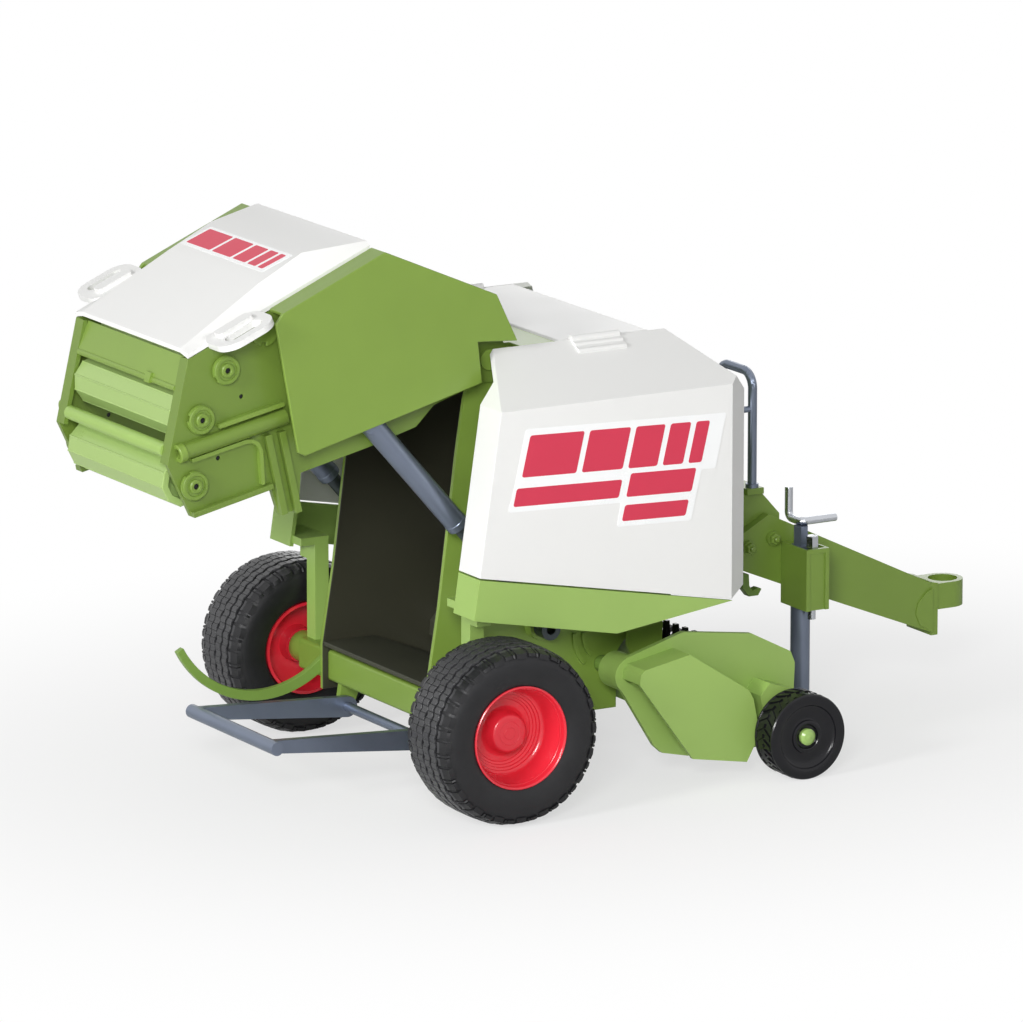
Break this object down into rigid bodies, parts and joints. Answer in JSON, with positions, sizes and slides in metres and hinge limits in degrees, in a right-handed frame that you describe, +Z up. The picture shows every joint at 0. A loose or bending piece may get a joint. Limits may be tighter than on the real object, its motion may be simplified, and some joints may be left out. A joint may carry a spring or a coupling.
{
  "type": "toy round baler",
  "caption": "Toy farm round baler with a lifting tailgate, side flaps, a floating pick-up with its reel, a bale ramp, a jack and a towing eye.",
  "frame": {"origin": "on the floor, in the middle of the whole toy with its tailgate open", "axes": "+X forward to the towing eye, +Y to the left side, +Z up"},
  "size_m": [0.2971, 0.1506, 0.1713],
  "materials": {
    "green": "satin moulded plastic",
    "dark_green": "satin moulded plastic",
    "white": "smooth moulded plastic",
    "tyre_rubber": "matte soft plastic",
    "red": "glossy moulded plastic",
    "steel": "plated steel",
    "blue_grey": "metallic grey-blue moulded plastic",
    "black": "glossy black moulded plastic"
  },
  "bodies": {
    "chassis": {"chamber_wall_right": "green", "chamber_wall_left": "green", "chamber_floor": "green", "axle_beam": "green", "axle_pin": "steel", "roof": "white", "top_plate": "green", "front_panel": "green", "front_rollers": "dark_green", "skirt_right": "green", "skirt_left": "green", "front_bracket": "green", "drawbar": "green", "jack_box": "green", "jack_screw": "steel", "guard_hoop": "blue_grey", "hose_hook": "dark_green", "guide_arm_left": "dark_green"},
    "tailgate": {"gate_side_right": "green", "gate_side_left": "green", "shield_right": "green", "shield_left": "green", "hood": "white", "gate_top_panel": "green", "gate_rear_panel": "green", "gate_crossbar": "green"},
    "jack": {"jack_leg": "blue_grey", "jack_crank": "steel"},
    "ramp": {"bale_ramp": "blue_grey"},
    "pickup": {"pickup_side_right": "green", "pickup_side_left": "green", "pickup_tube": "dark_green", "pickup_trough": "dark_green", "gauge_cap_right": "green", "gauge_cap_left": "green"},
    "reel": {"pickup_reel": "black"},
    "roller_1": {"gate_roller_1": "green"},
    "roller_2": {"gate_roller_2": "green"},
    "roller_3": {"gate_roller_3": "green"},
    "roller_4": {"gate_roller_4": "green"},
    "roller_5": {"gate_roller_5": "green"},
    "wheel_right": {"tyre_right": "tyre_rubber", "rim_right": "red"},
    "flap_right": {"flap_right": "white"},
    "gauge_right": {"gauge_wheel_right": "black"},
    "cylinder_right": {"strut_tube_right": "blue_grey"},
    "rod_right": {"strut_rod_right": "blue_grey"},
    "wheel_left": {"tyre_left": "tyre_rubber", "rim_left": "red"},
    "flap_left": {"flap_left": "white"},
    "gauge_left": {"gauge_wheel_left": "black"},
    "cylinder_left": {"strut_tube_left": "blue_grey"},
    "rod_left": {"strut_rod_left": "blue_grey"}
  },
  "joints": [
    {"name": "tailgate_lift", "type": "hinge", "parent": "chassis", "child": "tailgate", "pos_m": [-0.0413, 0, 0.132], "axis": [0, 1, 0], "range_deg": [-56, 0]},
    {"name": "roller_1_spin", "type": "hinge", "parent": "tailgate", "child": "roller_1", "pos_m": [-0.1403, 0, 0.1053], "axis": [0, 1, 0], "continuous": true},
    {"name": "roller_2_spin", "type": "hinge", "parent": "tailgate", "child": "roller_2", "pos_m": [-0.138, 0, 0.1246], "axis": [0, 1, 0], "continuous": true},
    {"name": "roller_3_spin", "type": "hinge", "parent": "tailgate", "child": "roller_3", "pos_m": [-0.1296, 0, 0.1384], "axis": [0, 1, 0], "continuous": true},
    {"name": "roller_4_spin", "type": "hinge", "parent": "tailgate", "child": "roller_4", "pos_m": [-0.11684, 0, 0.14857], "axis": [0, 1, 0], "continuous": true},
    {"name": "roller_5_spin", "type": "hinge", "parent": "tailgate", "child": "roller_5", "pos_m": [-0.09948, 0, 0.15415], "axis": [0, 1, 0], "continuous": true},
    {"name": "wheel_right_spin", "type": "hinge", "parent": "chassis", "child": "wheel_right", "pos_m": [-0.0533, -0.0635, 0.0271], "axis": [0, 1, 0], "continuous": true},
    {"name": "flap_right_lift", "type": "hinge", "parent": "chassis", "child": "flap_right", "pos_m": [-0.0113, -0.04, 0.1362], "axis": [-1, 0, 0], "range_deg": [0, 52]},
    {"name": "gauge_right_spin", "type": "hinge", "parent": "pickup", "child": "gauge_right", "pos_m": [0.0488, -0.0655, 0.0132], "axis": [0, 1, 0], "continuous": true},
    {"name": "cylinder_right_swing", "type": "hinge", "parent": "tailgate", "child": "cylinder_right", "pos_m": [-0.0843, -0.0387, 0.119], "axis": [0, 1, 0], "range_deg": [0, 59.11]},
    {"name": "rod_right_slide", "type": "slide", "parent": "cylinder_right", "child": "rod_right", "axis": [0.657, 0, -0.7539], "range_m": [-0.04201, 0]},
    {"name": "wheel_left_spin", "type": "hinge", "parent": "chassis", "child": "wheel_left", "pos_m": [-0.0533, 0.0635, 0.0271], "axis": [0, 1, 0], "continuous": true},
    {"name": "flap_left_lift", "type": "hinge", "parent": "chassis", "child": "flap_left", "pos_m": [-0.0113, 0.04, 0.1362], "axis": [1, 0, 0], "range_deg": [0, 52]},
    {"name": "gauge_left_spin", "type": "hinge", "parent": "pickup", "child": "gauge_left", "pos_m": [0.0488, 0.0655, 0.0132], "axis": [0, 1, 0], "continuous": true},
    {"name": "cylinder_left_swing", "type": "hinge", "parent": "tailgate", "child": "cylinder_left", "pos_m": [-0.0843, 0.0387, 0.119], "axis": [0, 1, 0], "range_deg": [0, 59.11]},
    {"name": "rod_left_slide", "type": "slide", "parent": "cylinder_left", "child": "rod_left", "axis": [0.657, 0, -0.7539], "range_m": [-0.04201, 0]},
    {"name": "pickup_lift", "type": "hinge", "parent": "chassis", "child": "pickup", "pos_m": [-0.0009, 0, 0.0342], "axis": [0, -1, 0], "range_deg": [0, 15]},
    {"name": "reel_spin", "type": "hinge", "parent": "pickup", "child": "reel", "pos_m": [0.0287, 0, 0.0276], "axis": [0, 1, 0], "continuous": true},
    {"name": "ramp_drop", "type": "hinge", "parent": "chassis", "child": "ramp", "pos_m": [-0.0573, 0, 0.016], "axis": [0, 1, 0], "range_deg": [-20, 0]},
    {"name": "jack_slide", "type": "slide", "parent": "chassis", "child": "jack", "axis": [0, 0, 1], "range_m": [0, 0.02]}
  ],
  "couplings": [
    {"joint": "cylinder_right_swing", "follows": "tailgate_lift", "ratio": -1.0555},
    {"joint": "rod_right_slide", "follows": "tailgate_lift", "m_per_rad": 0.042982},
    {"joint": "cylinder_left_swing", "follows": "tailgate_lift", "ratio": -1.0555},
    {"joint": "rod_left_slide", "follows": "tailgate_lift", "m_per_rad": 0.042982}
  ]
}
